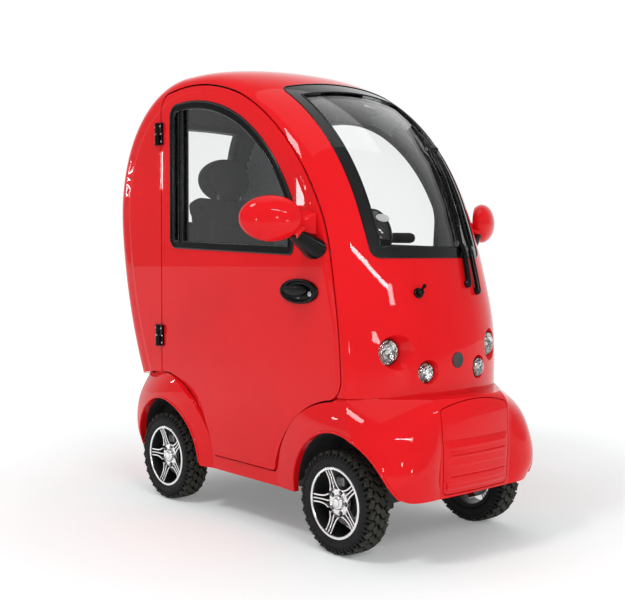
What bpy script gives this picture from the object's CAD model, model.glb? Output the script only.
import math

import bpy
from mathutils import Matrix, Vector


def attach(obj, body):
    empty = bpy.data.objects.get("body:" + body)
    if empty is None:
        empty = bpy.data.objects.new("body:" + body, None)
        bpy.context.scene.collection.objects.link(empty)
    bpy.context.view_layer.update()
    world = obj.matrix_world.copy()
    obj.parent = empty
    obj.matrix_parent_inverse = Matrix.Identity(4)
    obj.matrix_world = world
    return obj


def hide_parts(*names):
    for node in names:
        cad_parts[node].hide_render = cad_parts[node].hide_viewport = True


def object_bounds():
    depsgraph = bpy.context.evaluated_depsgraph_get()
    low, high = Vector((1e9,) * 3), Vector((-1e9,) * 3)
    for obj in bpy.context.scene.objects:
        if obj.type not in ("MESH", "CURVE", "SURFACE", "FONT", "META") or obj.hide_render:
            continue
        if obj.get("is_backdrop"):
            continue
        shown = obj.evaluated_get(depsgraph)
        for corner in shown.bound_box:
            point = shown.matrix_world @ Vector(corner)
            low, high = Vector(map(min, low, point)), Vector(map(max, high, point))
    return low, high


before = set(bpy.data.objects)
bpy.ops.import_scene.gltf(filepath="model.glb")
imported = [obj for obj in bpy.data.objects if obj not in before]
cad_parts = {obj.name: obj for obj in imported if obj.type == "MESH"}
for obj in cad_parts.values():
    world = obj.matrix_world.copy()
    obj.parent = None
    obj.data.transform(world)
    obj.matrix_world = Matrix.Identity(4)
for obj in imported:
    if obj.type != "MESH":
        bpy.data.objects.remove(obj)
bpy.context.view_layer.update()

# The studio: a wide pale painted floor before a white backdrop, with a dimmer room behind.
# A broad soft box hangs overhead, and small ones all round draw the sparks in the paint.


def only(obj):
    bpy.ops.object.select_all(action="DESELECT")
    obj.select_set(True)
    bpy.context.view_layer.objects.active = obj
    return obj


def node(mat, kind, **settings):
    made = mat.node_tree.nodes.new("ShaderNode" + kind)
    for key, value in settings.items():
        if hasattr(made, key):
            setattr(made, key, value)
        else:
            made.inputs[key.replace("_", " ")].default_value = value
    return made


def join(mat, source, output, target, socket):
    mat.node_tree.links.new(source.outputs[output], target.inputs[socket])


def ramp(mat, source, output, stops):
    made = node(mat, "ValToRGB")
    join(mat, source, output, made, "Fac")
    while len(made.color_ramp.elements) < len(stops):
        made.color_ramp.elements.new(0.5)
    for element, (place, colour) in zip(made.color_ramp.elements, stops):
        element.position = place
        element.color = (*colour, 1.0)
    return made


def finish_of(name, colour, patch, patch_size, rough, grain_size, grain_depth, metal=0.0,
              coat=0.0, coat_rough=0.03, shine=0.5):
    """Colour patches, worn roughness and a fine raised grain over one base material."""
    mat = bpy.data.materials.new(name)
    mat.use_nodes = True
    shader = mat.node_tree.nodes["Principled BSDF"]
    shader.inputs["Metallic"].default_value = metal
    shader.inputs["Coat Weight"].default_value = coat
    shader.inputs["Coat Roughness"].default_value = coat_rough
    shader.inputs["Specular IOR Level"].default_value = shine
    place = node(mat, "TexCoord")
    patches = node(mat, "TexNoise", Scale=1.0 / patch_size, Detail=6.0, Roughness=0.6)
    join(mat, place, "Object", patches, "Vector")
    tint = ramp(mat, patches, "Fac", [(0.32, colour), (0.68, patch)])
    join(mat, tint, "Color", shader, "Base Color")
    wear = node(mat, "TexNoise", Scale=4.0 / patch_size, Detail=8.0, Roughness=0.7)
    join(mat, place, "Object", wear, "Vector")
    low, high = rough
    rubbed = ramp(mat, wear, "Fac", [(0.35, (low,) * 3), (0.7, (high,) * 3)])
    join(mat, rubbed, "Color", shader, "Roughness")
    grain = node(mat, "TexNoise", Scale=1.0 / grain_size, Detail=3.0, Roughness=0.5)
    join(mat, place, "Object", grain, "Vector")
    raised = node(mat, "Bump", Strength=1.0, Distance=grain_depth)
    join(mat, grain, "Fac", raised, "Height")
    join(mat, raised, "Normal", shader, "Normal")
    return mat


from_camera = (-0.755, 0.655, 0.0)
bpy.ops.object.select_all(action="DESELECT")
bpy.ops.mesh.primitive_circle_add(vertices=96, radius=45.0, fill_type="NGON")
floor = bpy.context.object
floor.name = "floor"
floor_paint = finish_of("pale_floor_paint", (0.85, 0.89, 0.89), (0.87, 0.91, 0.91), 1.5,
                        (0.75, 0.85), 0.004, 0.0002, shine=0.1)
floor.data.materials.append(floor_paint)
glow = floor_paint.node_tree.nodes["Principled BSDF"]
glow.inputs["Emission Color"].default_value = (1.0, 1.0, 1.0, 1.0)
floor_place = node(floor_paint, "TexCoord")
floor_reach = node(floor_paint, "VectorMath", operation="LENGTH")
floor_glow = node(floor_paint, "MapRange", From_Min=1.0, From_Max=3.2, To_Min=0.18, To_Max=0.56)
floor_ahead = node(floor_paint, "VectorMath", operation="DOT_PRODUCT")
floor_ahead.inputs[1].default_value = from_camera
before_backdrop = node(floor_paint, "MapRange", From_Min=-4.2, From_Max=-2.2, To_Min=0.15,
                       To_Max=1.0)
floor_share = node(floor_paint, "Math", operation="MULTIPLY")
join(floor_paint, floor_place, "Object", floor_ahead, 0)
join(floor_paint, floor_ahead, "Value", before_backdrop, "Value")
join(floor_paint, before_backdrop, "Result", floor_share, 1)
join(floor_paint, floor_place, "Object", floor_reach, 0)
join(floor_paint, floor_reach, "Value", floor_glow, "Value")
join(floor_paint, floor_glow, "Result", floor_share, 0)
join(floor_paint, floor_share, "Value", glow, "Emission Strength")
floor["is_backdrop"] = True

sky = bpy.data.worlds.new("white_sky")
sky.use_nodes = True
sky.node_tree.nodes["Background"].inputs["Color"].default_value = (1.0, 1.0, 1.0, 1.0)
sky_place = node(sky, "TexCoord")
ahead = node(sky, "VectorMath", operation="DOT_PRODUCT")
ahead.inputs[1].default_value = from_camera
join(sky, sky_place, "Generated", ahead, 0)
sky_level = node(sky, "MapRange", From_Min=0.4, From_Max=0.88, To_Min=0.45, To_Max=1.0)
join(sky, ahead, "Value", sky_level, "Value")
join(sky, sky_level, "Result", sky.node_tree.nodes["Background"], "Strength")
bpy.context.scene.world = sky
bpy.context.scene.view_settings.view_transform = "Standard"


def placed(name, data):
    """Puts a new object into the scene."""
    made = bpy.data.objects.new(name, data)
    bpy.context.scene.collection.objects.link(made)
    return made


def soft_box(name, at, towards, width, height, power):
    """An area light, turned from its place towards a point."""
    box = bpy.data.lights.new(name, "AREA")
    box.shape = "RECTANGLE"
    box.size, box.size_y, box.energy = width, height, power
    lamp = placed(name, box)
    lamp.location = at
    lamp.visible_camera = False
    lamp.rotation_euler = (Vector(towards) - Vector(at)).to_track_quat("-Z", "Y").to_euler()
    return lamp


soft_box("overhead_soft_box", (0.2, 0.0, 4.6), (0, 0, 0.8), 3.6, 2.8, 25)
car_middle = (0.4, -0.2, 0.8)
for name, at, width, height, power in (
        ("lamp_spark", (4.79, -1.92, 1.28), 0.3, 0.36, 10),
        ("shoulder_spark", (0.28, -2.8, 4.23), 0.8, 0.8, 55),
        ("low_spark", (5.3, -0.39, 0.42), 0.26, 0.3, 8),
        ("low_side_spark", (2.91, -4.28, 0.72), 0.26, 0.36, 9),
        ("nose_spark", (4.73, -0.43, 2.62), 0.3, 0.36, 10),
        ("pillar_streak", (-3.06, -3.26, 1.37), 0.06, 0.2, 1.1),
        ("rear_streak", (-4.7, -2.35, 1.54), 0.18, 0.3, 5),
        ("door_edge_streak", (-4.22, -2.78, 1.57), 0.016, 0.3, 0.45)):
    soft_box(name, at, car_middle, width, height, power)
strip = soft_box("nose_streak", (4.6, -1.48, 3.2), car_middle, 2.1, 0.14, 50)
strip.rotation_euler.rotate_axis("Z", math.radians(-19))


def move_by(x, y, z):
    return Matrix.Translation((x, y, z))


def turn_by(degrees, axis):
    return Matrix.Rotation(math.radians(degrees), 4, axis)


camera_lens = bpy.data.cameras.new("photo_camera")
camera_lens.sensor_width = 36.0
camera_lens.lens = 59.59
camera_lens.clip_end = 200.0
camera = placed("photo_camera", camera_lens)
turn, rise, roll = math.radians(49.058), math.radians(2.984), math.radians(0.207)
back = Vector((math.sin(turn) * math.cos(rise), -math.cos(turn) * math.cos(rise), math.sin(rise)))
level = Vector((math.cos(turn), math.sin(turn), 0.0))
upright = back.cross(level)
across = math.cos(roll) * level + math.sin(roll) * upright
upward = -math.sin(roll) * level + math.cos(roll) * upright
camera.matrix_world = move_by(2.8933, -2.4961, 0.965) @ Matrix(
    (across, upward, back)).transposed().to_4x4()
bpy.context.scene.camera = camera

# Body shell, doors, wings, sills and front panel: glass fibre mouldings.
# They are sprayed bright red and lacquered to a deep gloss with a faint orange peel.
body_red = finish_of("red_lacquer", (0.75, 0.0085, 0.0125), (0.69, 0.0075, 0.011), 0.35,
                     (0.28, 0.36), 0.0016, 0.00001, coat=1.0, coat_rough=0.015, shine=0.0)
body_red.node_tree.nodes["Principled BSDF"].inputs["Coat IOR"].default_value = 1.27


def paint(mat, *names):
    """Gives solids of the CAD model a better material."""
    for name in names:
        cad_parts[name].data.materials[0] = mat


paint(body_red, "cab_shell", "door_left", "door_right", "front_wings", "rear_wings", "sills",
      "front_panel", "mirror_left", "mirror_right")

# Door, screen and rear window surrounds: extruded black rubber over a black painted border.
# They are pushed on round the openings and hold the panes.
rubber = finish_of("window_rubber", (0.0025, 0.0025, 0.003), (0.0045, 0.0045, 0.005), 0.08,
                   (0.24, 0.3), 0.0012, 0.00002, shine=0.09)
paint(rubber, "rear_window_frame", "door_left_frame", "door_right_frame")
screen_border = finish_of("black_border_under_glass", (0.0025, 0.0025, 0.003),
                          (0.0045, 0.0045, 0.005), 0.08, (0.3, 0.4), 0.002, 0.00001, coat=1.0,
                          coat_rough=0.04, shine=0.05)
screen_border.node_tree.nodes["Principled BSDF"].inputs["Coat IOR"].default_value = 1.42
paint(screen_border, "windscreen_frame")


def smooth(degrees):
    """Shades the picked mesh smooth, but for edges sharper than an angle."""
    bpy.ops.object.shade_smooth_by_angle(angle=math.radians(degrees))


def edit_all():
    """Opens the picked mesh for editing with all of it selected."""
    bpy.ops.object.mode_set(mode="EDIT")
    bpy.ops.mesh.select_all(action="SELECT")


def leave_edit():
    bpy.ops.object.mode_set(mode="OBJECT")


def face_outwards(obj):
    """Turns all the faces of one mesh outwards."""
    only(obj)
    edit_all()
    bpy.ops.mesh.normals_make_consistent(inside=False)
    leave_edit()


def rod(name, points, radius, mat, corners=10, ring=False):
    """A bar of one thickness through a row of points, or a ring of it."""
    line = bpy.data.curves.new(name, "CURVE")
    line.dimensions = "3D"
    run = line.splines.new("POLY")
    run.points.add(len(points) - 1)
    for target, point in zip(run.points, points):
        target.co = (*point, 1.0)
    run.use_cyclic_u = ring
    line.bevel_depth, line.bevel_resolution, line.use_fill_caps = radius, corners // 2 - 1, True
    only(placed(name, line))
    bpy.ops.object.convert(target="MESH")
    bar = bpy.context.object
    face_outwards(bar)
    smooth(50)
    bar.data.materials.append(mat)
    return bar


def joined(name, parts):
    """Joins parts into the first of them."""
    bpy.ops.object.select_all(action="DESELECT")
    for part in parts:
        part.select_set(True)
    bpy.context.view_layer.objects.active = parts[0]
    if len(parts) > 1:
        bpy.ops.object.join()
    parts[0].name = name
    return parts[0]


def skin_of(name, source, mat, wanted):
    """A copy of the faces of one CAD piece that pass a test, merged into one sheet."""
    sheet = placed(name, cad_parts[source].data.copy())
    sheet.data.materials.clear()
    sheet.data.materials.append(mat)
    only(sheet)
    edit_all()
    bpy.ops.mesh.remove_doubles(threshold=0.00002)
    bpy.ops.mesh.select_all(action="DESELECT")
    bpy.ops.mesh.select_mode(type="FACE")
    leave_edit()
    for face in sheet.data.polygons:
        face.select = not wanted(face.center, face.normal)
    bpy.ops.object.mode_set(mode="EDIT")
    bpy.ops.mesh.delete(type="FACE")
    leave_edit()
    return sheet


bead_black = finish_of("glossy_rubber_bead", (0.004, 0.004, 0.0045), (0.007, 0.007, 0.0075), 0.05,
                       (0.16, 0.22), 0.001, 0.00002, shine=0.3)
for source, body, facing, radius in (
        ("door_left_frame", "door_left", (0, 1, 0), 0.004),
        ("door_right_frame", "door_right", (0, -1, 0), 0.004),
        ("windscreen_frame", "body", (0.9, 0, 0.43), 0.0028),
        ("rear_window_frame", "body", (-0.95, 0, 0.3), 0.0028)):
    outwards = Vector(facing)
    edge = skin_of("edge", source, bead_black,
                   lambda centre, normal: normal.dot(outwards) > 0.55)
    edit_all()
    bpy.ops.mesh.region_to_loop()
    bpy.ops.mesh.select_mode(type="EDGE")
    bpy.ops.mesh.select_all(action="INVERT")
    bpy.ops.mesh.delete(type="EDGE")
    bpy.ops.mesh.select_all(action="SELECT")
    bpy.ops.mesh.delete(type="ONLY_FACE")
    leave_edit()
    links = {}
    for e in edge.data.edges:
        a, b = e.vertices
        links.setdefault(a, []).append(b)
        links.setdefault(b, []).append(a)
    loops, left = [], set(links)
    while left:
        here = left.pop()
        loop, ahead = [here], [n for n in links[here] if n in left]
        while ahead:
            here = ahead[0]
            left.discard(here)
            loop.append(here)
            ahead = [n for n in links[here] if n in left]
        if len(loop) > 20:
            loops.append([edge.data.vertices[n].co.copy() for n in loop])
    beads = [rod("bead", loop, radius, bead_black, ring=True) for loop in loops]
    bpy.data.objects.remove(edge)
    if beads:
        bead = joined("bead_of_" + source, beads)
        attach(bead, body)

# Windscreen, rear window and door panes: clear glass with a faint grey tint.
# Each is one sheet set in its rubber, and all reflect more where they are seen edge on.
glazing = bpy.data.materials.new("clear_glazing")
glazing.use_nodes = True
for old in list(glazing.node_tree.nodes):
    glazing.node_tree.nodes.remove(old)
result = node(glazing, "OutputMaterial")
clear = node(glazing, "BsdfTransparent")
clear.inputs["Color"].default_value = (0.985, 0.99, 0.99, 1.0)
polish = node(glazing, "BsdfGlossy")
polish.inputs["Color"].default_value = (1.0, 1.0, 1.0, 1.0)
smear_place = node(glazing, "TexCoord")
smear = node(glazing, "TexNoise", Scale=9.0, Detail=5.0)
join(glazing, smear_place, "Object", smear, "Vector")
smear_level = ramp(glazing, smear, "Fac", [(0.3, (0.01,) * 3), (0.8, (0.05,) * 3)])
join(glazing, smear_level, "Color", polish, "Roughness")
edge_on = node(glazing, "LayerWeight", Blend=0.5)
steep = node(glazing, "Math", operation="POWER")
steep.inputs[1].default_value = 2.8
join(glazing, edge_on, "Facing", steep, 0)
level_share = node(glazing, "Math", operation="MULTIPLY_ADD")
level_share.inputs[1].default_value, level_share.inputs[2].default_value = 0.62, 0.01
join(glazing, steep, "Value", level_share, 0)
blend = node(glazing, "MixShader")
join(glazing, level_share, "Value", blend, 0)
join(glazing, clear, "BSDF", blend, 1)
join(glazing, polish, "BSDF", blend, 2)
join(glazing, blend, "Shader", result, "Surface")
paint(glazing, "windscreen", "rear_window", "door_left_glass", "door_right_glass")

# Floor pan with its wheel tubs, seat box, sun visor and console: black plastic mouldings.
# Their surface has a fine pressed grain and hardly shines.
grained = finish_of("grained_plastic", (0.02, 0.02, 0.022), (0.03, 0.03, 0.032), 0.15,
                    (0.5, 0.65), 0.0014, 0.00015, shine=0.2)
paint(grained, "floor_pan", "seat_base", "sun_visor", "tiller_console")

# Chassis, axles, knuckles, tiller column and its socket: welded steel under black paint.
# The battery is a closed case under the seat and has the same dull black.
chassis_black = finish_of("black_chassis_paint", (0.015, 0.015, 0.015), (0.03, 0.028, 0.026),
                          0.06, (0.35, 0.6), 0.002, 0.0001, shine=0.25)
paint(chassis_black, "chassis_frame", "front_axle", "rear_axle", "knuckle_left", "knuckle_right",
      "tiller_column", "tiller_socket", "battery_pack")

# Hinges, door handles, mirror stalks, wiper and handlebar: castings, pressings and bent tube.
# All have a hard glossy black coat, and later sections put finer parts in place of most.
fittings_black = finish_of("black_gloss_fittings", (0.002, 0.002, 0.002), (0.004, 0.004, 0.004),
                           0.04, (0.16, 0.28), 0.0008, 0.00003, coat=0.12, coat_rough=0.04, shine=0.1)
paint(fittings_black, "hinge_leaves", "door_left_fittings", "door_right_fittings",
      "mirror_stalk_left", "mirror_stalk_right", "wiper", "handlebar")

# Tyres: moulded black rubber on a round carcass with a smooth side wall and dark grooves.
# Lugs stand round each edge, with two rows of shoulder and two of slanted centre blocks between.
tyre_rubber = finish_of("tyre_rubber", (0.006, 0.006, 0.0065), (0.013, 0.013, 0.0135), 0.05,
                        (0.5, 0.75), 0.0012, 0.0002, shine=0.2)
groove_black = finish_of("tread_groove", (0.0015, 0.0015, 0.0015), (0.003, 0.003, 0.003), 0.01,
                         (0.8, 0.95), 0.001, 0.0001, shine=0.05)
tread_rubber = finish_of("tread_rubber", (0.024, 0.024, 0.02), (0.052, 0.052, 0.043), 0.03,
                         (0.65, 0.9), 0.0015, 0.0003, shine=0.15)
wheel_centres = {"front_left": (0.5335, 0.3135), "front_right": (0.5335, -0.3135),
                 "rear_left": (-0.4235, 0.3135), "rear_right": (-0.4235, -0.3135)}
wheel_height = 0.165


def turned(name, outline, sides, mat, closed=False, sharp=35.0):
    """Turns an outline of radius and place along the axle into a ring, or a cap with its pole."""
    bpy.ops.object.select_all(action="DESELECT")
    radius, along = outline[0]
    bpy.ops.mesh.primitive_circle_add(vertices=sides, radius=radius, location=(0, along, 0),
                                      rotation=(math.radians(90), 0, 0))
    ring = bpy.context.object
    ring.name = name
    bpy.ops.object.transform_apply(location=True, rotation=True, scale=True)
    edit_all()
    rows = outline + outline[:1] if closed else outline
    for (r0, y0), (r1, y1) in zip(rows, rows[1:]):
        bpy.ops.mesh.extrude_edges_move(TRANSFORM_OT_translate={"value": (0, y1 - y0, 0)})
        bpy.ops.transform.resize(value=(r1 / r0, 1, r1 / r0), center_override=(0, 0, 0))
    bpy.ops.mesh.select_all(action="SELECT")
    bpy.ops.mesh.remove_doubles(threshold=0.00002)
    bpy.ops.mesh.select_all(action="DESELECT")
    leave_edit()
    for corner in ring.data.vertices:
        corner.select = math.hypot(corner.co.x, corner.co.z) < 0.0006
    bpy.ops.object.mode_set(mode="EDIT")
    bpy.ops.mesh.remove_doubles(threshold=0.0012)
    leave_edit()
    face_outwards(ring)
    smooth(sharp)
    ring.data.materials.append(mat)
    return ring


def copied(part, name, move):
    """A copy with its own mesh, moved inside the mesh so the object stays at the origin."""
    twin = placed(name, part.data.copy())
    twin.data.transform(move)
    return twin


def block(name, centre, size, taper, bevel, mat):
    """A moulded block: a cube with its outer face drawn in and its edges rounded."""
    bpy.ops.object.select_all(action="DESELECT")
    bpy.ops.mesh.primitive_cube_add(size=1.0, location=centre)
    made = bpy.context.object
    made.name = name
    made.scale = size
    bpy.ops.object.transform_apply(location=True, rotation=True, scale=True)
    top = max(v.co.z for v in made.data.vertices)
    bpy.ops.object.mode_set(mode="EDIT")
    bpy.ops.mesh.select_all(action="DESELECT")
    leave_edit()
    for v in made.data.vertices:
        v.select = v.co.z > top - 1e-5
    bpy.ops.object.mode_set(mode="EDIT")
    bpy.ops.transform.resize(value=(taper, taper, 1), center_override=centre)
    bpy.ops.mesh.select_all(action="SELECT")
    if bevel:
        bpy.ops.mesh.bevel(offset=bevel, segments=1)
    leave_edit()
    made.data.materials.append(mat)
    return made


def two_tone(piece, second, wanted):
    """Gives the faces whose middles pass a test a second material."""
    piece.data.materials.append(second)
    for face in piece.data.polygons:
        face.material_index = 1 if wanted(face.center) else 0


side_wall = [(0.1139, 0.0405), (0.1165, 0.044), (0.12, 0.0452), (0.123, 0.045),
             (0.124, 0.0458), (0.138, 0.0462), (0.1395, 0.0456), (0.148, 0.044),
             (0.154, 0.0395), (0.157, 0.034), (0.1585, 0.022), (0.159, 0.0)]
tyre_outline = side_wall + [(r, -y) for r, y in reversed(side_wall[:-1])]
carcass = turned("carcass", tyre_outline, 72, tyre_rubber, closed=True)
two_tone(carcass, groove_black, lambda at: math.hypot(at.x, at.z) > 0.144)
lug_count, block_count = 56, 30
lug = block("lug", (0, 0, 0), (0.01, 0.0075, 0.024), 0.8, 0.001, tyre_rubber)
lug.data.transform(move_by(0, 0.0405, 0.151) @ turn_by(28, "X"))
shoulder_block = block("shoulder_block", (0, 0, 0), (0.0285, 0.015, 0.008), 0.93, 0.0009,
                       tread_rubber)
shoulder_block.data.transform(move_by(0, 0.0318, 0.159) @ turn_by(-9, "X") @ turn_by(-24, "Z"))
centre_block = block("centre_block", (0, 0, 0), (0.029, 0.019, 0.008), 0.94, 0.0009,
                     tread_rubber)
centre_block.data.transform(move_by(0, 0.0112, 0.1602) @ turn_by(34, "Z"))
mirrored = turn_by(180, "Z")
tread = [carcass]
for part, count, shift in ((lug, lug_count, 0.0), (shoulder_block, block_count, 0.25),
                           (centre_block, block_count, 0.75)):
    for n in range(count):
        for side_turn, offset in ((Matrix.Identity(4), 0.0), (mirrored, 0.5)):
            spin = Matrix.Rotation((n + shift + offset) * 2 * math.pi / count, 4, "Y")
            tread.append(copied(part, "tread", spin @ side_turn))
whole_tyre = joined("tyre", tread)
for place, (x, y) in wheel_centres.items():
    tyre = copied(whole_tyre, "lugged_tyre_" + place, move_by(x, y, wheel_height))
    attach(tyre, "wheel_" + place)
    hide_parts("tyre_" + place)
for spare in (whole_tyre, lug, shoulder_block, centre_block):
    bpy.data.objects.remove(spare)

# Rims: cast alloy with a bright machined lip and five spokes of three thin ribs each.
# A dark drum and a brake calliper stand behind, and a cap and five sunk nuts close the hub.
alloy = finish_of("silver_alloy", (0.92, 0.92, 0.92), (0.84, 0.84, 0.85), 0.03, (0.16, 0.3),
                  0.0008, 0.00002, metal=1.0)
rim_black = finish_of("black_rim_paint", (0.006, 0.006, 0.006), (0.012, 0.012, 0.012), 0.03,
                      (0.3, 0.5), 0.001, 0.00004, shine=0.2)
cast_grey = finish_of("cast_drum_grey", (0.22, 0.22, 0.22), (0.34, 0.34, 0.34), 0.02,
                      (0.4, 0.6), 0.001, 0.0001, metal=0.8)
barrel = turned("barrel", [(0.1136, 0.04), (0.1128, 0.0432), (0.11, 0.0445), (0.1052, 0.0441),
                           (0.1042, 0.042), (0.1025, 0.037), (0.1015, 0.033), (0.099, -0.032),
                           (0.101, -0.042), (0.1136, -0.043), (0.1136, -0.04),
                           (0.106, -0.033), (0.105, 0.033)], 96, alloy, closed=True)
two_tone(barrel, rim_black, lambda at: at.y < 0.03 or (
    math.hypot(at.x, at.z) < 0.1046 and at.y < 0.0442))
hub = turned("hub", [(0.0425, 0.012), (0.0425, 0.0235), (0.041, 0.025), (0.0252, 0.0254),
                     (0.024, 0.029), (0.0228, 0.0335), (0.0205, 0.0355), (0.018, 0.0345),
                     (0.012, 0.0362), (0.0004, 0.037)], 48, alloy)
drum = turned("drum", [(0.078, -0.025), (0.078, -0.006), (0.077, -0.005), (0.06, -0.005),
                       (0.056, -0.0005), (0.036, 0.004), (0.035, 0.016), (0.0004, 0.016)],
              48, rim_black)
two_tone(drum, cast_grey, lambda at: math.hypot(at.x, at.z) > 0.06)
calliper = block("calliper", (0.006, 0.008, 0.064), (0.04, 0.016, 0.03), 0.8, 0.003, cast_grey)
spoke_parts = [barrel, hub, drum, calliper]


def modified(obj, kind, **settings):
    """Adds one modifier, sets its values and applies it."""
    only(obj)
    made = obj.modifiers.new("shape", kind)
    for key, value in settings.items():
        setattr(made, key, value)
    bpy.ops.object.modifier_apply(modifier=made.name)


def facing_out(way):
    """No turn for a left-hand piece, and half a turn for a right-hand one."""
    return Matrix.Identity(4) if way > 0 else turn_by(180, "Z")


rib_long = 0.064
for n in range(5):
    swing = turn_by(90 + 72 * n, "Y")
    for side_step in (-1, 0, 1):
        rib = block("rib", (0, 0, 0), (0.0052, 0.01, rib_long), 1.0, 0.0, alloy)
        edit_all()
        bpy.ops.mesh.subdivide(number_cuts=5)
        leave_edit()
        for v in rib.data.vertices:
            t = v.co.z / rib_long + 0.5
            v.co.x = v.co.x + side_step * (0.0088 + 0.003 * t + 0.0125 * max(0.0, 1 - t) ** 3.6)
            v.co.y += 0.0275 + 0.008 * t - 0.003 * math.sin(math.pi * t)
            v.co.z = 0.0405 + rib_long * t
        modified(rib, "BEVEL", width=0.0009, segments=2, limit_method="ANGLE",
                 angle_limit=math.radians(50))
        smooth(40)
        rib.data.transform(swing)
        spoke_parts.append(rib)
    at = turn_by(90 + 36 + 72 * n, "Y")
    pocket = turned("pocket", [(0.0074, 0.024), (0.0074, 0.0266), (0.0064, 0.0268),
                               (0.0003, 0.0268)], 16, rim_black)
    pocket.data.transform(at @ move_by(0, 0, 0.0345))
    nut = turned("nut", [(0.0046, 0.026), (0.0046, 0.0305), (0.0036, 0.0312), (0.0003, 0.0312)],
                 6, cast_grey, sharp=20)
    nut.data.transform(at @ move_by(0, 0, 0.0345))
    spoke_parts += [pocket, nut]
whole_rim = joined("rim", spoke_parts)
for place, (x, y) in wheel_centres.items():
    rim = copied(whole_rim, "spoked_rim_" + place, move_by(x, y, wheel_height) @ facing_out(y))
    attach(rim, "wheel_" + place)
    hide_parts("rim_" + place)
bpy.data.objects.remove(whole_rim)

# Headliner and side linings: pressed felt boards glued inside the shell and the doors.
# The roof and the posts are charcoal, and the boards beside the seat are a lighter grey.
charcoal_felt = finish_of("charcoal_felt", (0.022, 0.022, 0.023), (0.034, 0.034, 0.035), 0.05,
                          (0.8, 0.95), 0.001, 0.0003, shine=0.1)
grey_felt = finish_of("speckled_grey_felt", (0.16, 0.17, 0.18), (0.3, 0.31, 0.32), 0.006,
                      (0.75, 0.95), 0.001, 0.0003, shine=0.15)


def looks_at_seat(centre, normal):
    towards = Vector((-0.05, 0.0, 0.95)) - centre
    return (centre.z > 0.5 and abs(centre.y) < 0.336
            and normal.dot(towards.normalized()) > 0.35)


for source, body in (("cab_shell", "body"), ("door_left", "door_left"), ("door_right", "door_right")):
    lining = skin_of("lining_of_" + source, source, charcoal_felt, looks_at_seat)
    edit_all()
    bpy.ops.transform.shrink_fatten(value=0.0005)
    leave_edit()
    modified(lining, "SOLIDIFY", thickness=0.002, offset=1.0)
    two_tone(lining, grey_felt, lambda at: at.x < 0.1 and at.z < 1.47 and abs(at.y) > 0.26)
    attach(lining, body)

# Head lamps: clear domes over faceted bright reflectors, set deep in red moulded scoops.
# Each lamp is a pressed bowl with a bezel, dropped in from behind, with a bulb at its middle.
reflector_bright = finish_of("reflector_bright", (0.1, 0.1, 0.1), (0.95, 0.95, 0.94), 0.005,
                             (0.05, 0.16), 0.006, 0.0016, metal=1.0)
facets_place = node(reflector_bright, "TexCoord")
facets = node(reflector_bright, "TexVoronoi", Scale=150.0)
join(reflector_bright, facets_place, "Object", facets, "Vector")
facet_tones = ramp(reflector_bright, facets, "Color", [(0.25, (0.02,) * 3), (0.85, (0.8,) * 3)])
join(reflector_bright, facet_tones, "Color", reflector_bright.node_tree.nodes["Principled BSDF"],
     "Base Color")
bulb_glass = finish_of("bulb_glass", (0.75, 0.72, 0.6), (0.85, 0.82, 0.72), 0.01, (0.1, 0.2),
                       0.003, 0.0002, coat=1.0)
dome_glass = glazing.copy()
dome_glass.name = "ribbed_lamp_glass"
flutes_place = node(dome_glass, "TexCoord")
flutes = node(dome_glass, "TexVoronoi", Scale=95.0)
join(dome_glass, flutes_place, "Object", flutes, "Vector")
fluted = node(dome_glass, "Bump", Strength=1.0, Distance=0.002)
join(dome_glass, flutes, "Distance", fluted, "Height")
join(dome_glass, fluted, "Normal", dome_glass.node_tree.nodes[polish.name], "Normal")
dome_glass.node_tree.nodes[level_share.name].inputs[2].default_value = 0.05
paint(body_red, "head_lamps")
for place, y, z, r, lens in (("head_left", 0.233, 0.64, 0.038, 0.634),
                             ("head_right", -0.233, 0.64, 0.038, 0.634),
                             ("low_left", 0.123, 0.574, 0.03, 0.69),
                             ("low_right", -0.123, 0.574, 0.03, 0.69)):
    forwards = (move_by(lens + 0.0008, y * 1.012, z - 0.003)
                @ turn_by(math.copysign(8, y), "Z") @ turn_by(-90, "Z"))
    dish = turned("dish", [(r * 1.03, 0.0085), (r * 1.01, 0.01), (r * 0.9, 0.0088),
                           (r * 0.66, 0.005), (r * 0.44, 0.0026), (r * 0.2, 0.0012),
                           (r * 0.02, 0.001)], 14, reflector_bright, sharp=4)
    bezel = turned("bezel", [(r * 0.98, 0.0), (r * 1.02, 0.0), (r * 1.06, 0.0085),
                             (r * 1.05, 0.0105), (r * 1.02, 0.0095)], 48, fittings_black,
                   closed=True)
    bulb = turned("bulb", [(r * 0.16, 0.0014), (r * 0.17, 0.006), (r * 0.12, 0.01),
                           (r * 0.04, 0.0118), (0.0002, 0.012)], 20, bulb_glass)
    dome = turned("dome", [(r * 1.04, 0.009), (r * 1.0, 0.0125), (r * 0.84, 0.016),
                           (r * 0.56, 0.0185), (r * 0.28, 0.0197), (r * 0.02, 0.02)],
                  48, dome_glass)
    lamp = joined("lamp_" + place, [dish, bezel, bulb, dome])
    lamp.data.transform(forwards)
    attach(lamp, "body")

# Emblem disc and washer nozzle: black mouldings clipped into the nose.
# The disc is plain and dished, and the nozzle is a ball on a stub with a ribbed collar.


def on_skin(piece, start):
    """Where a line run rearwards meets a piece, with the turn that lays an axle on its normal."""
    met, spot, facing, _ = piece.ray_cast(Vector(start), Vector((-1, 0, 0)))
    assert met, piece.name
    return Matrix.Translation(spot) @ facing.to_track_quat("Y", "Z").to_matrix().to_4x4()


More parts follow.
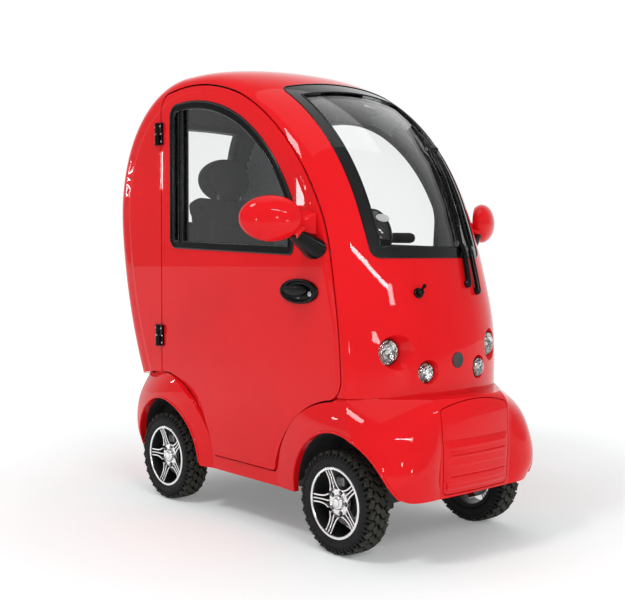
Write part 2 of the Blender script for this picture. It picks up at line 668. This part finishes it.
emblem_grey = finish_of("dark_emblem_plastic", (0.035, 0.036, 0.037), (0.05, 0.05, 0.052), 0.01,
                        (0.3, 0.45), 0.0008, 0.00005, shine=0.3)
emblem = turned("emblem_disc", [(0.025, -0.003), (0.025, 0.0022), (0.0238, 0.0034),
                                (0.0222, 0.0034), (0.021, 0.0024), (0.012, 0.0019),
                                (0.0003, 0.0018)], 48, emblem_grey)
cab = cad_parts["cab_shell"]
emblem.data.transform(on_skin(cab, (1.2, 0.0, 0.605)))
nozzle = turned("nozzle", [(0.013, -0.003), (0.013, 0.003), (0.0105, 0.005), (0.0065, 0.006),
                           (0.006, 0.011), (0.0085, 0.0125), (0.0095, 0.0165),
                           (0.008, 0.0205), (0.0045, 0.023), (0.0003, 0.0235)],
                32, fittings_black)
spout = turned("spout", [(0.0034, 0.004), (0.0034, 0.026), (0.0046, 0.027), (0.0046, 0.035),
                         (0.0002, 0.0355)], 16, fittings_black)
spout.data.transform(move_by(0, 0.01, 0) @ turn_by(20, "X"))
washer = joined("washer_nozzle", [nozzle, spout])
washer.data.transform(on_skin(cab, (1.2, -0.13, 0.819)) @ Matrix.Diagonal((1.3, 1.0, 1.3, 1)))
for piece in (emblem, washer):
    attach(piece, "body")

# Hinges and door handles: pressed hinge leaves under domed bolts, and an oval handle bowl.
# The handle's paddle is hinged in the bowl at the front, beside a key lock.
lock_steel = finish_of("lock_steel", (0.55, 0.55, 0.56), (0.4, 0.4, 0.41), 0.01, (0.15, 0.3),
                       0.0006, 0.00002, metal=1.0)
bolt_head = turned("bolt_head", [(0.0042, -0.001), (0.0042, 0.0012), (0.0034, 0.0024),
                                 (0.0018, 0.003), (0.0002, 0.0032)], 10, lock_steel)
for side, way in (("left", 1.0), ("right", -1.0)):
    body_bolts, door_bolts = [], []
    for low_end, high_end in ((0.585, 0.665), (1.342, 1.425)):
        for step in (0.16, 0.5, 0.84):
            z = low_end + step * (high_end - low_end)
            for across in (-0.4775, -0.468):
                body_bolts.append(copied(bolt_head, "bolt", move_by(across, way * 0.362, z)
                                         @ facing_out(way)))
            out = 0.369 if step > 0.6 else 0.365
            door_bolts.append(copied(bolt_head, "bolt", move_by(-0.4335, way * out, z)
                                     @ facing_out(way)))
    bolts = joined("body_hinge_bolts_" + side, body_bolts)
    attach(bolts, "body")
    leaves = skin_of("hinge_leaves_door_" + side, "door_%s_fittings" % side, fittings_black,
                     lambda centre, normal: centre.x < 0)
    leaves = joined("door_hinges_" + side, [leaves] + door_bolts)
    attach(leaves, "door_" + side)
    bowl = turned("bowl", [(0.0405, -0.0005), (0.0405, 0.006), (0.0385, 0.0095),
                           (0.035, 0.01), (0.032, 0.008), (0.029, 0.0035),
                           (0.02, 0.0015), (0.0004, 0.0012)], 64, fittings_black)
    bowl.data.transform(Matrix.Diagonal((0.092 / 0.0405, 1, 1, 1)))
    paddle = turned("paddle", [(0.0215, 0.003), (0.0225, 0.009), (0.021, 0.0125),
                               (0.016, 0.014), (0.008, 0.0146), (0.0004, 0.0148)],
                    48, fittings_black)
    paddle.data.transform(move_by(-0.012, 0, 0.004) @ Matrix.Diagonal(
        (0.06 / 0.0225, 0.92, 0.8, 1)))
    lock = turned("lock", [(0.0085, 0.002), (0.0085, 0.0105), (0.0072, 0.012),
                           (0.003, 0.0122), (0.0026, 0.01), (0.0002, 0.01)], 24, lock_steel)
    lock.data.transform(move_by(0.062, 0, -0.006))
    handle = joined("door_handle_" + side, [bowl, paddle, lock])
    mirrored_x = Matrix.Identity(4) if way > 0 else Matrix.Scale(-1, 4, (0, 1, 0))
    handle.data.transform(move_by(0.364, way * 0.3582, 0.82) @ mirrored_x)
    face_outwards(handle)
    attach(handle, "door_" + side)
    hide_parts("door_%s_fittings" % side)
bpy.data.objects.remove(bolt_head)

# Mirrors: red egg-shaped housings with a silvered glass in a recess on a black backing.
# A slim black foot and a tapering red arm cover carry each housing from the door,
# and a red lip closes the housing's end towards the foot.
silvered = finish_of("silvered_glass", (0.82, 0.84, 0.85), (0.78, 0.8, 0.82), 0.2, (0.01, 0.03),
                     0.02, 0.00001, metal=1.0)
for side, way in (("left", 1.0), ("right", -1.0)):
    glass = turned("glass", [(0.061, 0.0), (0.061, 0.0022), (0.056, 0.003),
                             (0.03, 0.0042), (0.0004, 0.0046)], 64, silvered)
    backing = turned("backing", [(0.0635, -0.001), (0.064, 0.002), (0.0625, 0.0026),
                                 (0.0612, 0.0012), (0.0004, 0.0008)], 64, fittings_black)
    faced = joined("mirror_glass_" + side, [glass, backing])
    faced.data.transform(Matrix.Diagonal((1.42, 1, 1, 1)))
    faced.data.transform(move_by(0.396, way * 0.5, 1.05) @ turn_by(way * 32, "Z")
                         @ move_by(-0.0145, 0, 0) @ turn_by(90, "Z"))
    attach(faced, "door_" + side)
    bpy.ops.object.select_all(action="DESELECT")
    bpy.ops.mesh.primitive_uv_sphere_add(segments=32, ring_count=16, radius=1.0)
    lip = bpy.context.object
    lip.name = "mirror_lip_" + side
    lip.scale = (0.02, 0.046, 0.017)
    bpy.ops.object.transform_apply(location=True, rotation=True, scale=True)
    edit_all()
    bpy.ops.mesh.bisect(plane_co=(0, 0.004, 0), plane_no=(0, 1, 0), clear_outer=True, use_fill=True)
    leave_edit()
    for v in lip.data.vertices:
        v.co.x *= 1.0 + v.co.y * 9.0
        v.co.z *= 1.0 + v.co.y * 7.0
    lip.data.transform(move_by(0.436, -0.436, 1.006) @ turn_by(24, "X") @ turn_by(168, "Z"))
    if way > 0:
        lip.data.transform(Matrix.Scale(-1, 4, (0, 1, 0)))
    face_outwards(lip)
    smooth(50)
    lip.data.materials.append(body_red)
    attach(lip, "door_" + side)
    foot = skin_of("mirror_foot_" + side, "mirror_stalk_" + side, fittings_black,
                   lambda centre, normal: True)
    root, tip = Vector((0.432, way * 0.358, 0.958)), Vector((0.42, way * 0.448, 1.016))
    along = (tip - root).normalized()
    for v in foot.data.vertices:
        near = root + along * (v.co - root).dot(along)
        off = v.co - near
        off.y = 0.0
        v.co += off * 0.45
    only(foot)
    smooth(40)
    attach(foot, "door_" + side)
    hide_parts("mirror_stalk_" + side)
    bpy.ops.object.select_all(action="DESELECT")
    bpy.ops.mesh.primitive_cube_add(size=2.0, location=(0, 0, 0))
    cover = bpy.context.object
    cover.name = "mirror_arm_cover_" + side
    for v in cover.data.vertices:
        at_door, front, high = v.co.y > 0, v.co.x > 0, v.co.z > 0
        if at_door:
            x, z = (0.45 if front else 0.396), ((1.068 if front else 1.086) if high else 0.998)
        else:
            x, z = (0.42 if front else 0.396), (1.038 if high else 1.014)
        v.co = Vector((x, way * (0.3575 if at_door else 0.44), z))
    modified(cover, "BEVEL", width=0.006, segments=3)
    face_outwards(cover)
    smooth(40)
    cover.data.materials.append(body_red)
    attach(cover, "door_" + side)

# Wiper: two parallel arms from capped pivots on the nose to one long blade.
# The arms are bent steel under spring covers, and the blade is a claw frame with a rubber lip.


def above_front(y, z, lift):
    """A point in front of the nose or screen, held off its surface."""
    best = None
    for source in ("cab_shell", "windscreen", "windscreen_frame"):
        met, spot, facing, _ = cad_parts[source].ray_cast(Vector((1.5, y, z)), Vector((-1, 0, 0)))
        if met and (best is None or spot.x > best[0].x):
            best = (spot, facing)
    return best[0] + best[1] * lift


def along_line(start, end, steps, lift):
    return [above_front(start[0] + (end[0] - start[0]) * n / steps,
                        start[1] + (end[1] - start[1]) * n / steps, lift) for n in range(steps + 1)]


wiper_parts = []
for pivot, top in (((0.095, 0.842), (0.16, 1.296)), ((0.15, 0.818), (0.176, 1.29))):
    wiper_parts.append(rod("arm", along_line(pivot, top, 14, 0.0115), 0.0062, fittings_black))
    cover_end = (pivot[0] + (top[0] - pivot[0]) * 0.28, pivot[1] + (top[1] - pivot[1]) * 0.28)
    wiper_parts.append(rod("cover", along_line(pivot, cover_end, 5, 0.011), 0.009, fittings_black))
    cap = turned("cap", [(0.0125, -0.002), (0.0125, 0.012), (0.0105, 0.015), (0.006, 0.0158),
                         (0.0055, 0.0175), (0.0003, 0.0178)], 32, fittings_black)
    cap.data.transform(on_skin(cab, (1.5, *pivot)))
    wiper_parts.append(cap)
blade_from, blade_to = (0.119, 0.985), (0.15, 1.38)
blade_spine = along_line(blade_from, blade_to, 26, 0.0085)
blade_rubber = along_line(blade_from, blade_to, 26, 0.0032)
wiper_parts.append(rod("rubber_lip", blade_rubber, 0.003, tyre_rubber, 6))
wiper_parts.append(rod("spine", blade_spine, 0.005, fittings_black, 6))
bow = Vector((0.002, 0, 0))
for first, last in ((2, 8), (7, 19), (18, 24)):
    low_end, high_end = blade_spine[first], blade_spine[last]
    middle = above_front(*[a + (b - a) * (first + last) / 52 for a, b in zip(blade_from, blade_to)],
                         0.015)
    wiper_parts.append(rod("bridge", [low_end, (low_end + middle) / 2 + bow, middle,
                                      (high_end + middle) / 2 + bow, high_end], 0.007,
                           fittings_black, 6))
clasp = block("clasp", (0, 0, 0), (0.024, 0.056, 0.018), 0.85, 0.003, fittings_black)
clasp.data.transform(Matrix.Translation(above_front(0.158, 1.292, 0.014)) @ turn_by(40, "Y"))
wiper_parts.append(clasp)
wiper_pair = joined("wiper_pair", wiper_parts)
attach(wiper_pair, "body")
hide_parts("wiper")

# Tiller head: a glossy black hood like an egg, leaning on its column, with a blank oval plate.
# Two grip bars with rubber sleeves and finger levers stick out below it.
hood_plastic = finish_of("glossy_hood_plastic", (0.008, 0.008, 0.009), (0.013, 0.013, 0.014), 0.08,
                         (0.12, 0.25), 0.002, 0.00004, coat=0.8, coat_rough=0.05, shine=0.3)
blank_white = finish_of("blank_plate_white", (0.78, 0.78, 0.77), (0.7, 0.7, 0.69), 0.01,
                        (0.25, 0.35), 0.001, 0.00002)
bpy.ops.object.select_all(action="DESELECT")
bpy.ops.mesh.primitive_uv_sphere_add(segments=48, ring_count=24, radius=1.0)
hood = bpy.context.object
hood.name = "tiller_hood"
hood.scale = (0.058, 0.05, 0.088)
bpy.ops.object.transform_apply(location=True, rotation=True, scale=True)
for v in hood.data.vertices:
    back_side = max(0.0, -v.co.x - 0.022)
    v.co.x += 0.75 * back_side
    v.co.y *= 1.0 + 0.1 * math.cos(v.co.z * 16)
    if v.co.z < -0.045:
        v.co.z = -0.045 + (v.co.z + 0.045) * 0.6
edit_all()
bpy.ops.mesh.bisect(plane_co=(0.03, 0, 0.0), plane_no=(1, 0, 0.15), clear_inner=False)
leave_edit()
smooth(60)
hood.data.materials.append(hood_plastic)
plate = turned("plate", [(0.0125, -0.0015), (0.0125, 0.0006), (0.0118, 0.0011),
                         (0.0003, 0.0012)], 40, blank_white)
plate.data.transform(Matrix.Diagonal((2.3, 1, 1.35, 1)))
plate.data.transform(on_skin(hood, (0.3, -0.004, 0.036)))
dial = turned("dial", [(0.013, 0.0), (0.013, 0.006), (0.011, 0.0075), (0.0003, 0.0078)], 32,
              hood_plastic)
dial.data.transform(move_by(-0.033, 0.018, 0.012) @ turn_by(90, "Z"))
hood_parts = joined("tiller_hood", [hood, plate, dial])
hood_parts.data.transform(move_by(0.346, 0, 1.01) @ turn_by(-20, "Y"))
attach(hood_parts, "tiller")
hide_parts("tiller_console")
grip_parts = []
for way in (-1.0, 1.0):
    grip_parts.append(rod("bar", [(0.33, way * 0.02, 0.988), (0.318, way * 0.09, 0.995),
                                  (0.318, way * 0.12, 0.995)], 0.011, fittings_black, 16))
    sleeve = turned("sleeve", [(0.011, 0.092), (0.0185, 0.094), (0.02, 0.102), (0.018, 0.108),
                               (0.0176, 0.12), (0.0188, 0.124), (0.0176, 0.13), (0.0188, 0.136),
                               (0.0176, 0.142), (0.0188, 0.148), (0.0176, 0.154),
                               (0.0188, 0.16), (0.0176, 0.166), (0.0186, 0.174),
                               (0.0184, 0.198), (0.016, 0.209), (0.0003, 0.2135)], 32,
                    tyre_rubber)
    sleeve.data.transform(move_by(0.318, 0, 0.995) @ facing_out(way))
    grip_parts.append(sleeve)
    grip_parts.append(rod("lever", [(0.35, way * 0.034, 0.95), (0.352, way * 0.062, 0.944),
                                    (0.35, way * 0.1, 0.948), (0.342, way * 0.134, 0.96)],
                          0.0058, fittings_black, 12))
grips = joined("tiller_grips", grip_parts)
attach(grips, "tiller")
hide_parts("handlebar")

# Seat cushion, back and headrest: foam pads in dark grey woven cloth.
# The back has sewn seams down its front, and the headrest a lighter band and two steel posts.
seat_cloth = finish_of("dark_grey_seat_cloth", (0.022, 0.022, 0.023), (0.034, 0.034, 0.036), 0.02,
                       (0.82, 0.96), 0.0011, 0.0005, shine=0.15)
side_cloth = finish_of("side_band_cloth", (0.05, 0.051, 0.053), (0.07, 0.071, 0.074), 0.02,
                       (0.75, 0.92), 0.0011, 0.0005, shine=0.2)
corner_y, corner_z, corner_radius = 0.112, 1.082, 0.082
for source, shrink, swell in (("seat_cushion", 0.96, 0.02), ("seat_back", 0.985, 0.016)):
    pad = skin_of("padded_" + source, source, seat_cloth, lambda centre, normal: True)
    middle = sum((Vector(corner) for corner in pad.bound_box), Vector()) / 8
    pad.data.transform(Matrix.Translation(middle) @ Matrix.Scale(shrink, 4) @ Matrix.Translation(
        -middle))
    modified(pad, "REMESH", mode="VOXEL", voxel_size=0.0065)
    start = [v.co.copy() for v in pad.data.vertices]
    foam = pad.modifiers.new("foam", "CLOTH")
    foam.settings.use_pressure = True
    foam.settings.uniform_pressure_force = 3.0
    foam.settings.effector_weights.gravity = 0.0
    foam.point_cache.frame_start, foam.point_cache.frame_end = 1, 20
    for step in range(1, 21):
        bpy.context.scene.frame_set(step)
    blown = pad.evaluated_get(bpy.context.evaluated_depsgraph_get()).to_mesh()
    for v, from_here, to_here in zip(pad.data.vertices, start, blown.vertices):
        moved = to_here.co - from_here
        v.co = from_here + moved * min(1.0, swell / max(moved.length, 1e-6))
    pad.modifiers.remove(foam)
    bpy.context.scene.frame_set(1)
    if source == "seat_back":
        for v in pad.data.vertices:
            v.co.y *= 1.1
            v.co.z += 0.035 * max(0.0, v.co.z - 0.75)
            side_out, top_out = abs(v.co.y) - corner_y, v.co.z - corner_z
            beyond = math.hypot(side_out, top_out)
            if side_out > 0 and top_out > 0 and beyond > corner_radius:
                v.co.y = math.copysign(corner_y + side_out * corner_radius / beyond, v.co.y)
                v.co.z = corner_z + top_out * corner_radius / beyond
            if v.normal.x > 0.2:
                seam = math.exp(-((abs(v.co.y) - 0.118) / 0.0055) ** 2)
                rail = math.exp(-((v.co.z - 1.045) / 0.0055) ** 2) if abs(v.co.y) < 0.118 else 0.0
                v.co.x -= 0.007 * max(seam if v.co.z < 1.05 else 0.0, rail)
    modified(pad, "SMOOTH", factor=0.5, iterations=2)
    modified(pad, "SUBSURF", levels=1, render_levels=1)
    bpy.ops.object.shade_smooth()
    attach(pad, "body")
    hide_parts(source)
headrest = turned("padded_headrest", [
    (0.0005, 0.0425), (0.04, 0.0418), (0.074, 0.0395), (0.09, 0.035), (0.0945, 0.0335),
    (0.096, 0.0312), (0.0955, 0.029), (0.0995, 0.02), (0.1015, 0.006), (0.1015, -0.006),
    (0.0995, -0.02), (0.0955, -0.029), (0.096, -0.0312), (0.0945, -0.0335),
    (0.09, -0.035), (0.074, -0.0385), (0.0005, -0.04)], 72, seat_cloth, sharp=60)
two_tone(headrest, side_cloth, lambda at: abs(at.y) < 0.029)
headrest.data.transform(move_by(-0.5365, 0, 1.2295) @ turn_by(-8.5, "Y")
                        @ Matrix.Diagonal((1.05, 1.09, 0.83, 1)) @ turn_by(-90, "Z"))
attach(headrest, "body")
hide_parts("headrest")
paint(lock_steel, "headrest_posts")

# Wheel arch lips: the red edge of each wing and sill, rolled outwards round the tyre.
# Each is one round bead that follows the wing and the sill, and never the door.
for place, arch_x in (("front", 0.5535), ("rear", -0.4145)):
    for side, way in (("left", 1.0), ("right", -1.0)):
        rolled = []
        for n in range(61):
            sweep = math.radians(-6 + 192 * n / 60)
            x, z = arch_x + 0.2185 * math.cos(sweep), 0.175 + 0.2185 * math.sin(sweep)
            reach = {}
            for source in ("front_wings", "rear_wings", "sills", "door_" + side):
                met, spot, _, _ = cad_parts[source].ray_cast(
                    Vector((x, way * 0.9, z)), Vector((0, -way, 0)))
                if met and way * spot.y > 0.2:
                    reach[source] = spot
            if reach:
                nearest = max(reach, key=lambda key: way * reach[key].y)
                if not nearest.startswith("door"):
                    rolled.append(reach[nearest] + Vector((0, -way * 0.0005, 0)))
        arch_lip = rod("arch_lip_%s_%s" % (place, side), rolled, 0.0046, body_red, 12)
        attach(arch_lip, "body")

# Chassis: two square steel tubes with round cross tubes welded between them.
# Short posts on the cross tubes carry the floor.
tubes = []
for way in (-1.0, 1.0):
    tubes.append(block("rail", (-0.04, way * 0.095, 0.12), (1.12, 0.04, 0.04), 1.0, 0.004,
                       chassis_black))
for x in (-0.56, -0.25, 0.0, 0.25, 0.49):
    tubes.append(rod("cross", [(x, -0.1, 0.124), (x, 0.1, 0.124)], 0.015, chassis_black, 20))
    for way in (-1.0, 1.0):
        tubes.append(rod("post", [(x, way * 0.095, 0.138), (x, way * 0.095, 0.2)], 0.011,
                         chassis_black, 16))
chassis = joined("chassis_tubes", tubes)
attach(chassis, "body")
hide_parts("chassis_frame")

# Front stay: a bent strip of bright steel under the nose.
# A strap lies on the floor's front face, and its tongue points down and forwards.
strap = block("strap", (0, 0, 0), (0.004, 0.038, 0.064), 1.0, 0.001, lock_steel)
strap.data.transform(move_by(0.687, 0.08, 0.215))
tongue = block("tongue", (0, 0, 0), (0.004, 0.038, 0.05), 0.85, 0.001, lock_steel)
tongue.data.transform(move_by(0.704, 0.08, 0.169) @ turn_by(140, "Y"))
stay = joined("front_stay", [strap, tongue])
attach(stay, "body")

# Front panel face: the red moulding between the front wings.
# Low soft corrugations with one steep side are pressed in, nearly its full width.
rib_pitch, panel_middle = 0.027, 0.296
bpy.ops.object.select_all(action="DESELECT")
bpy.ops.mesh.primitive_grid_add(x_subdivisions=72, y_subdivisions=84, size=1.0)
ribbed = bpy.context.object
ribbed.name = "ribbed_face"
for v in ribbed.data.vertices:
    y, z = 0.302 * v.co.x, panel_middle + 0.164 * v.co.y
    met, spot, facing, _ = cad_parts["front_panel"].ray_cast(
        Vector((1.2, y, z)), Vector((-1, 0, 0)))
    on_rib = abs(y) < 0.1283 and any(
        0.2357 + rib_pitch * n < z < 0.2483 + rib_pitch * n for n in range(5))
    base = spot.x - (0.005 / max(facing.x, 0.5) if on_rib else 0.0)
    inside = min(0.151 - abs(y), 0.082 - abs(z - panel_middle)) / 0.013
    rise = max(0.0, min(1.0, inside))
    rise = rise * rise * (3 - 2 * rise)
    wave = ((z - 0.242) / rib_pitch) % 1.0
    fold = 1.0 - wave / 0.78 if wave < 0.78 else (wave - 0.78) / 0.22
    v.co = Vector((base - 0.0012 + rise * (0.0066 + 0.0026 * fold * min(1.0, inside / 2)), y, z))
modified(ribbed, "SMOOTH", factor=0.5, iterations=3)
modified(ribbed, "SOLIDIFY", thickness=0.003, offset=-1.0)
face_outwards(ribbed)
smooth(50)
ribbed.data.materials.append(body_red)
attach(ribbed, "body")

low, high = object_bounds()
